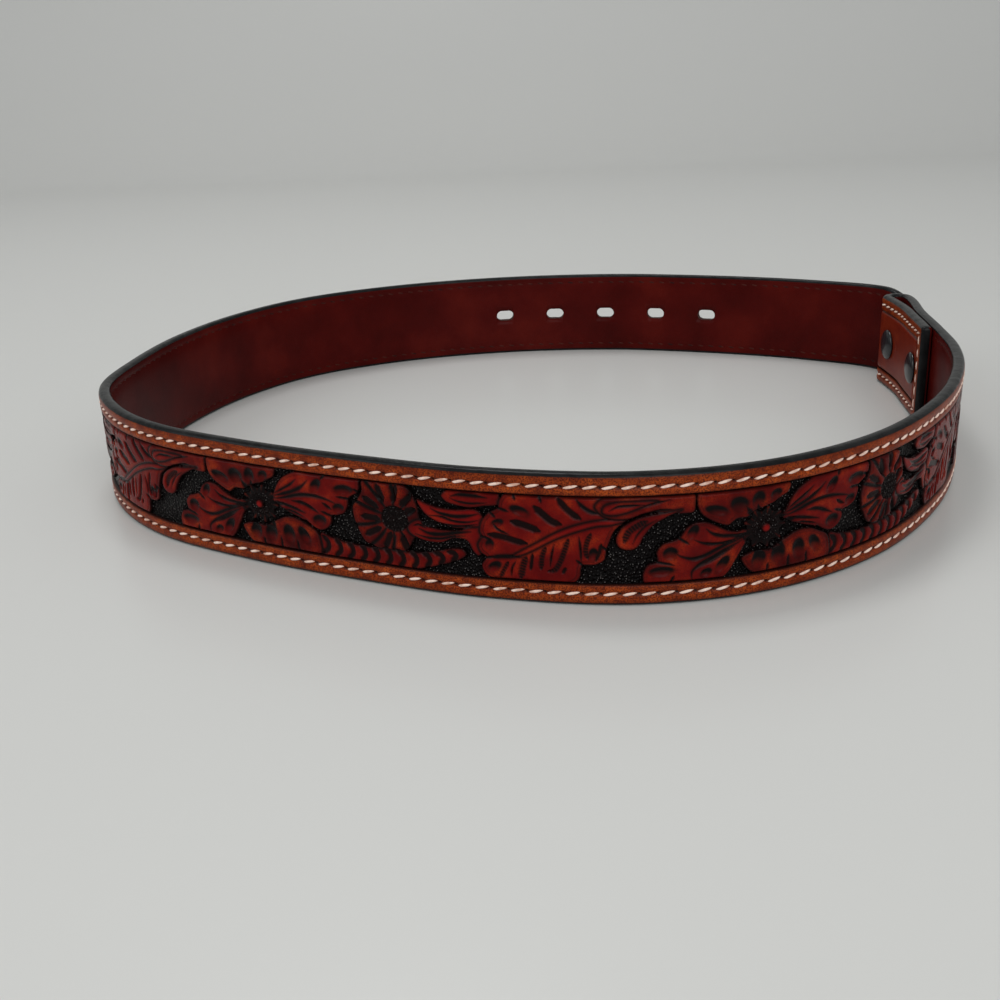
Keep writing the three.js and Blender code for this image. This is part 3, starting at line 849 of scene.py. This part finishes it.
def tool_fan(tooling):
    """The seed fan behind a rope stem: a beaded centre, wedge-shaped petals and leaves that sweep away."""
    tooling.shape(
        (36.9, 12.8), (36.6, 9.4), (35.2, 6.9), (33.4, 4.4), (33.5, 1.2), (34.7, -2.4), (36.6, -5.8),
        (39.4, -7.3), (44, -7.7), (50, -7.3), (52.4, -4), (54.6, 1.0), (54.4, 6.4), (53.2, 9.4), (51.4, 12),
        (49, 12.9), (43, 13), red=0.1, rim=0.6)
    for middle, half_length, angle in (
        ((42.6, 9.4), 2.4, 112), ((47.2, 9.7), 2.4, 76), ((50.7, 8.0), 2.2, 40), ((39.4, 6.2), 2.6, 150),
        ((39.2, 1.6), 2.8, 178), ((39.8, -2.4), 2.8, 208), ((44.4, -4.6), 2.6, 246), ((49.6, -5.2), 2.2, 290),
        ((51.8, 5.2), 1.6, 14),
    ):
        tooling.bars(0.5, (2.1, 0, *oriented(((-half_length, 0), (half_length, 0)), middle, angle)))
    middle = np.array((47, 2.2))
    for turn, reach in ((-165, 13.5), (-133, 13), (-98, 10.5), (-65, 9.5), (-15, 7), (27, 7), (58, 11),
                        (94, 10.5), (131, 14.5), (163, 13)):
        heading = np.array((math.cos(math.radians(turn)), math.sin(math.radians(turn))))
        tooling.cut((middle + 3.4 * heading, middle + 0.6 * reach * heading + (0.3, -0.3),
                     middle + reach * heading), 1.3, 0.5, end=1)
    tooling.seeds(middle, 8.4, 7.8)
    # The two leaves beside it
    tooling.shape(
        (54.2, 8.9), (57.4, 8.0), (61, 7.2), (66, 7.1), (72, 7.4), (74, 4), (73, 0.6), (70, 1.8), (66, 1.4),
        (62, 2.2), (58.6, 3.5), (56, 5.4), red=0.5)
    tooling.cuts(
        0.5,
        (1.3, (58.4, 6.8), (61, 5.6), (65, 5), (69, 5.4), (72.4, 6.4)),
        (0.8, (57.6, 4.6), (61, 4.6), (65, 3.6), (69, 3.6), (72.6, 4.6)),
        (0.9, (60.4, 2.9), (64, 2.2), (68.6, 2.4), (72, 3.4)))
    tooling.shape(
        (50.9, 0.3), (52.2, 1.9), (54.8, 2.9), (56.8, 1.7), (61, 0.7), (66, 0.9), (70, 2.2), (73.4, 2),
        (73.8, -3), (72, -6.2), (70.4, -5), (68.6, -1.9), (65, -1.6), (61.4, -3.2), (57, -3.4),
        (53.6, -2.6), (51.5, -1.4), red=0.35)
    tooling.cuts(
        0.5,
        (1.5, (54.6, 0.4), (57.4, -0.8), (61, -0.8), (65, 0), (70, 1)),
        (0.9, (53.4, -1.4), (57, -2.2), (61, -2.1), (65, -1), (68.4, -0.4)),
        (0.7, (52.6, 0.9), (54.4, 1.4), (57, 0.6)))
    tooling.seeds((58.2, 1.9), 5.6, 1.9, 0.8)
    tooling.bars(0.3, (1.4, 1, (55.2, -4.6), (58.6, -4.9), (61.8, -4.4)),
                 (1.4, 1, (62.6, -3.9), (65, -3.4), (68, -2.7)))
    # The rope stem, with bars across it that shorten towards its end
    tooling.shape(
        (21.7, -5.4), (25, -6.2), (30, -7.2), (38, -7.6), (48, -7.5), (54, -7.1), (60, -5.8), (64.4, -4.6),
        (67.6, -4.7), (68.4, -6.2), (66.6, -7.8), (62.4, -9.6), (57.6, -11.2), (52, -12.6), (38, -12.7),
        (21.7, -12.7), top=-0.12, red=0.25)
    rope = smooth_line(((22.6, -9.2), (30, -9.8), (40, -10), (50, -9.9), (57, -9), (62.6, -7.5),
                        (66.8, -6.1)))
    rope_run = lengths_along(rope)
    rope_half_width = 2.7
    for step in np.arange(0.5, rope_run[-1] - 0.6, 4.15):
        middle, ahead = ([np.interp(place, rope_run, rope[:, axis]) for axis in (0, 1)]
                         for place in (step, step + 0.5))
        angle = math.degrees(math.atan2(ahead[1] - middle[1], ahead[0] - middle[0]))
        half = rope_half_width * (1 - 0.5 * soft_step((step - 28) / 18))
        across = ((-1.1, half), (0.6, 0.5 * half), (0.9, -0.2 * half), (-0.9, -half))
        tooling.bars(0.5, (1.7, 0, *oriented(across, middle, angle)))
    # The leaf above them
    tooling.shape(
        (61.6, 10.8), (63.4, 12.6), (70, 13), (78, 12.8), (78, 9.4), (74, 8.6), (70, 7.9), (65.6, 8.3),
        (62.8, 9.2), red=0.3)
    tooling.cut(((64.6, 10.9), (66.6, 11.5), (70.4, 11.5), (75, 11.2)), 1.3, 0.5)
    tooling.cut(((64.4, 10.4), (66.4, 9.6), (70, 9.2), (75, 9.8)), 0.7, 0.4)


def tool_leaf(tooling):
    """The oak leaf: a scalloped leaf with a raised midrib, and teardrop leaves on the stem beyond it."""
    tooling.shape(
        (-70.4, 12.9), (-72.2, 11), (-72.9, 8.6), (-75.4, 7), (-77.4, 4.6), (-78.1, 1.4), (-77.6, -0.2),
        (-78.7, -2.6), (-78, -5), (-76.6, -6.2), (-77.9, -8.6), (-77, -11.2), (-74.4, -12.7), (-64, -13),
        (-52.8, -12.8), (-50.6, -10.8), (-49.8, -7.3), (-46.4, -6.9), (-44, -5.4), (-43.4, -2.6),
        (-42.4, 0.4), (-41, 3.4), (-37, 6.6), (-36, 9.2), (-38, 11.6), (-44, 12.9), (-58, 13), red=0.3, rim=1)
    tooling.bars(
        0.5,
        (1.9, 0, (-75.6, 0.5), (-71.6, 0.1), (-67.4, -1.0), (-65, -1.4)),
        (2.1, 0, (-69, 4.8), (-65.4, 3.9), (-61.4, 2.4)),
        (2.1, 0, (-62.6, 9.4), (-60.4, 7.4), (-57.8, 5.3), (-55.6, 4.6)),
        (1.9, 0, (-56.2, 11.9), (-54.2, 9.4), (-52, 7.4), (-50.4, 6.4)),
        (1.2, 1, (-70.2, -7.2), (-71.4, -9.4), (-72.6, -12)),
        (1.9, 1, (-65.2, -5.4), (-66.2, -8.4), (-66.8, -11.6)),
        (1.0, 0, (-63.4, -4.4), (-63.7, -6.6), (-64, -9)),
        (1.4, 1, (-59.8, -2.2), (-60.8, -5), (-61.1, -8.6)),
        (1.5, 1, (-53.6, 0.4), (-54.6, -2.8), (-56, -6.6), (-57.4, -8.8), (-59, -9.2)),
        (1.0, 0, (-54.4, -8), (-55.2, -9.6)),
        (1.4, 1, (-47.6, 2.2), (-48.7, -0.6), (-49, -3.2), (-48.3, -5.2)),
        (1.1, 0, (-44.9, -0.8), (-45.4, -3.4), (-46.4, -5.6)))
    tooling.cuts(
        0.5,
        (1.3, (-51.5, 12.2), (-50, 10.2), (-47.6, 8.5), (-44.6, 7.7)),
        (0.8, (-69.6, 0.9), (-72.8, 2.2), (-74.6, 4.2)),
        (1.5, (-66, -5.6), (-70.6, -5.6), (-76.4, -6.3)),
        (0.6, (-68, -6.6), (-69.2, -9), (-69.4, -11.6)),
        (0.6, (-57.4, -1), (-58.2, -4.6), (-58.6, -8)),
        (0.7, (-50.8, 1.6), (-50.4, -2), (-50.2, -6.2)))
    tooling.dimples(0.45, 0.9, (-66.6, 7.9, 5.2, 2.6, -22), (-73, 4.1, 3.4, 2.0, 24),
                    (-75.3, -2.4, 3.0, 2.2, 80), (-74.2, -9, 4.2, 2.6, 40), (-46.9, -3.8, 2.4, 3.4, 0))
    tooling.cuts(
        0.45, (0.9, (-72.9, 8.5), (-69.6, 7.6)), (0.9, (-77.7, -0.2), (-74.6, -0.9)),
        (0.9, (-77.2, -6.4), (-74.2, -6.2)), (0.9, (-49.7, -7.3), (-51.6, -5.4)),
        (0.9, (-43.4, -2.4), (-45.2, -1.4)), (0.9, (-61.4, 12.6), (-60.6, 10.6)),
        (0.9, (-68.4, 12.6), (-67.8, 11)), (0.9, (-74.8, 6.9), (-73.4, 5.6)), start=1)
    # The midrib, and the stem that it runs into
    tooling.shape(
        (-69, -5.4), (-66, -3.2), (-62, -0.8), (-58, 1.7), (-54, 3.7), (-50, 5.1), (-46, 6.0), (-42, 6.3),
        (-38.6, 5.8), (-42, 4.7), (-46, 4.3), (-50, 3.1), (-54, 1.6), (-58, -0.3), (-62, -2.7), (-66, -4.8),
        top=0.06, red=0.55)
    tooling.shape(
        (-44, 6.9), (-38, 6.2), (-33, 7.4), (-28.6, 7.9), (-24.4, 7.2), (-20.4, 7.6), (-20, 10),
        (-20.4, 12.8), (-28, 12.9), (-38, 12.9), (-44, 12.6), (-46.6, 10), red=0.15)
    tooling.cut(((-38.4, 5.9), (-34, 7.4), (-29, 8.6), (-25, 8.6)), 0.9, 0.45)
    tooling.cut(((-36, 9.4), (-31, 10.6), (-26.6, 11.6)), 0.7, 0.35)
    # The teardrops above and below the stem
    tooling.shape(
        (-44.6, 8.2), (-44.2, 10), (-41.4, 11.1), (-36, 11.4), (-30, 11.2), (-34, 9.8), (-38.6, 8.0),
        (-42.6, 7.4), red=0.4)
    tooling.cut(((-42.8, 8.8), (-40.6, 9.9), (-37, 10.2), (-33.6, 10.4)), 0.9, 0.4)
    tooling.shape(
        (-23.6, 8.5), (-28, 7.9), (-33.2, 7.2), (-37.4, 5.6), (-40, 3.4), (-41.2, 0.2), (-40, -2),
        (-37, -2.6), (-35, -1.5), (-33.6, 1.2), (-31, 4.4), (-27.6, 6.5), red=0.3)
    tooling.bars(0.45, (1.9, 1, (-38.8, -0.2), (-37.8, 2.4), (-35.6, 4.2), (-33, 5.6)))
    tooling.cut(((-36.6, -0.6), (-35.6, 1.6), (-33.6, 4), (-30.4, 6)), 0.6, 0.35)


drawn_u, drawn_v = np.meshgrid(np.arange(grid_columns) * repeat / grid_columns - repeat / 2,
                               np.linspace(-panel_reach, panel_reach, grid_rows), indexing="ij")
tooling = Tooling(drawn_u, drawn_v)
tool_fan(tooling)
tool_flower(tooling)
tool_leaf(tooling)
carving = np.stack([tooling.height, tooling.dark, tooling.ground, tooling.red], axis=-1)
carving = carving.reshape(grid_columns, grid_rows, 4)


flower_bench = on_strap(flower_place)


def carved_at(along, across):
    """The drawing's height and its dyes, with the dents' painted shade and highlights, at places of the flat
    strap.
    """
    column = ((flower_bench - along) / repeat + 0.5) * grid_columns
    row = (across + panel_reach) / (2 * panel_reach) * (grid_rows - 1)
    left, low = np.floor(column).astype(int), np.clip(np.floor(row).astype(int), 0, grid_rows - 2)
    right_share, high_share = (column - left)[..., None], (row - low)[..., None]
    return (carving[left % grid_columns, low] * (1 - right_share) * (1 - high_share)
            + carving[(left + 1) % grid_columns, low] * right_share * (1 - high_share)
            + carving[left % grid_columns, low + 1] * (1 - right_share) * high_share
            + carving[(left + 1) % grid_columns, low + 1] * right_share * high_share)


tip_clearance = 0.3
hole_tiles = (5, 5, 5, 5, 4)
tile_ends = [panel_start]
tile_ends += [on_strap(flower_place + (number - 0.5) * repeat) for number in range(6)]
tile_ends.append(bench_length - border_inset - tip_clearance)
tip_curve = outline(border_inset)
tip_curve = tip_curve[(tip_curve[:, 0] > bench_length - tip_rounding) & (tip_curve[:, 1] < 0)]
row_share = np.linspace(-1, 1, grid_rows)

panel_tiles = []
for number, (start, end) in enumerate(zip(tile_ends[:-1], tile_ends[1:])):
    tile_along = np.linspace(start, end, round((end - start) * grid_columns / repeat) + 1)
    half_height = np.interp(tile_along, tip_curve[:, 0], -tip_curve[:, 1], left=panel_reach)
    along, across = tile_along[:, None] + 0 * row_share, half_height[:, None] * row_share
    carved = carved_at(along, across)
    to_frame = np.minimum(np.minimum(half_height[:, None] - np.abs(across), along - panel_start),
                          tile_ends[-1] - along)
    frame_share = 1 - soft_step(to_frame / frame_ease)
    height = np.minimum(panel_top + carved[..., 0], framed_height(to_frame))
    face = np.stack([along, across, height], axis=-1)
    back = face[:, [-1, 0]] * (1, 1, 0) + (0, 0, glue_line)
    tile = loft(f"tooled_panel_{number + 1}", np.concatenate([face, back], axis=1))
    # Its channels carry the antique dye and tones, and the dents' painted shade and red highlight.
    dye_and_painted_light = np.stack([np.maximum(carved[..., 1], frame_share), carved[..., 2], carved[..., 3]], axis=-1)
    store_dye_and_painted_light(tile, np.concatenate([dye_and_painted_light, np.ones((len(tile_along), 2, 3))], axis=1).reshape(-1, 3))
    finish_mesh(tile, 75)
    tile.data.materials.append(tooled_finish)
    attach(tile, "root")
    panel_tiles.append(tile)
for punch, tile in zip(punches, hole_tiles):
    punch_through(panel_tiles[tile], punch)
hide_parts("carved_strap")

# The stitches. Two plies of waxed off-white thread lock together through holes punched by a slanted awl, so
# each stitch lies a little askew in its groove and dives into a hole at both ends, on both faces.
stitch_length = 4.5
stitch_slant = math.radians(-13)
thread_half_width = 0.44
thread_dip = 0.5
heading_step = 0.8


def sew(name, seat, out, half_depth, finish):
    """The stitches of one face, at a height where they lie and on the side of the strap that they face."""
    bpy.ops.object.select_all(action="DESELECT")
    bpy.ops.mesh.primitive_uv_sphere_add(segments=8, ring_count=6, radius=1)
    thread = bpy.context.object
    thread.name = name
    pattern = np.array([corner.co for corner in thread.data.vertices])
    pattern_faces = [list(face.vertices) for face in thread.data.polygons]
    along = pattern[:, 2] * stitch_length / 2
    beside = pattern[:, 0] * thread_half_width
    height = seat + out * (pattern[:, 1] * half_depth - thread_dip * pattern[:, 2] ** 4)
    middle_run = (np.arange(stitch_count) + 0.5) * stitch_pitch
    middles, before, after = (
        np.column_stack([np.interp(middle_run + step, stitch_run, stitch_line[:, axis]) for axis in (0, 1)])
        for step in (0, -heading_step, heading_step))
    heading = np.arctan2(*(after - before).T[::-1]) + stitch_slant
    ahead = np.column_stack([np.cos(heading), np.sin(heading)])[:, None]
    aside = np.column_stack([-np.sin(heading), np.cos(heading)])[:, None]
    flat = middles[:, None] + along[:, None] * ahead + beside[:, None] * aside
    flat = np.concatenate([flat, np.broadcast_to(height[:, None], flat.shape[:2] + (1,))], axis=-1)
    faces = [[corner + stitch * len(pattern) for corner in face]
             for stitch in range(stitch_count) for face in pattern_faces]
    thread.data.clear_geometry()
    thread.data.from_pydata(bend(flat.reshape(-1, 3)).tolist(), [], faces)
    finish_mesh(thread, 80)
    thread.data.materials.append(finish)
    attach(thread, "root")


for name, seat, out, half_depth, dirty, clean in (
    ("carved_face_stitches", 1.8, 1, 0.42, (0.58, 0.35, 0.27), (0.88, 0.68, 0.58)),
    ("lining_face_stitches", -1.84, -1, 0.2, (0.02, 0.003, 0.0025), (0.06, 0.01, 0.006)),
):
    thread_finish = new_finish(f"waxed_thread_{name}", 0.5, 0.1)
    dirt = noise(thread_finish, own_place(thread_finish), 420, 3)
    feed(thread_finish, ramp(thread_finish, dirt, ((0.35, dirty), (0.58, clean))))
    sew(name, seat, out, half_depth, thread_finish)

# The press snaps. Each is a cap on the flap's carved side, whose barrel holds the head of a stud that is
# riveted through the strap. Both are pressed steel with rolled rims, in glossy black enamel. Their profiles
# run from the axis outwards, each row a radius and a height out of the leather's middle line.
cap_profile = (
    (0.0, 0.8), (2.7, 0.8), (2.7, -2.0), (4.0, -2.0), (4.0, 2.08), (5.9, 2.1), (6.15, 2.3), (6.25, 2.6),
    (6.15, 2.9), (5.85, 3.15), (5.3, 3.45), (4.5, 3.78), (3.4, 4.08), (1.8, 4.25), (0.0, 4.3),
)
turned_steps = 56
enamel = new_finish("black_enamel", 0.25, 0.3, 0.25, 0.08, (0.012, 0.013, 0.015))


def stud_profile(gap):
    """A stud's profile, for the gap between the strap and the flap where it stands."""
    return ((0.0, -4 - gap), (1.7, -4 - gap), (1.95, -3.8 - gap), (2.4, -3 - gap), (1.9, -2 - gap),
            (1.9, 2.08), (4.2, 2.1), (4.45, 2.3), (4.5, 2.6), (4.35, 2.95), (3.8, 3.25), (2.4, 3.38),
            (0.0, 3.4))


def turned(name, profile, along):
    """A turned piece of a snap, set at a place of the flat strap, that replaces the solid of its name."""
    mesh = bpy.data.meshes.new(name)
    mesh.from_pydata([(radius, 0, height) for radius, height in profile],
                     [(row, row + 1) for row in range(len(profile) - 1)], [])
    piece = bpy.data.objects.new(name, mesh)
    bpy.context.collection.objects.link(piece)
    pick(piece)
    spin = piece.modifiers.new("spin", "SCREW")
    spin.steps = spin.render_steps = turned_steps
    spin.use_merge_vertices = True
    bpy.ops.object.modifier_apply(modifier="spin")
    origin, ahead, outward = (Vector(bend((along + step, 0, height)))
                              for step, height in ((0, 0), (1, 0), (0, 1)))
    out = (outward - origin).normalized()
    forward = (ahead - origin).normalized()
    turn = Matrix((forward, out.cross(forward), out)).transposed().to_4x4()
    mesh.transform(Matrix.Translation(origin) @ turn @ Matrix.Scale(0.001, 4))
    finish_mesh(piece, 35)
    mesh.materials.append(enamel)
    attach(piece, "root")
    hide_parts(name.replace("shaped_", ""))


for number, snap_place in enumerate(snap_places):
    snap_gap = loop_gap - (loop_gap - flap_gap) * float(soft_step(snap_place / flap_ease))
    turned(f"shaped_snap_cap_{number + 1}", cap_profile, on_flap(snap_place))
    turned(f"shaped_snap_stud_{number + 1}", stud_profile(snap_gap), on_strap(snap_place))

for punch in punches:
    bpy.data.objects.remove(punch)
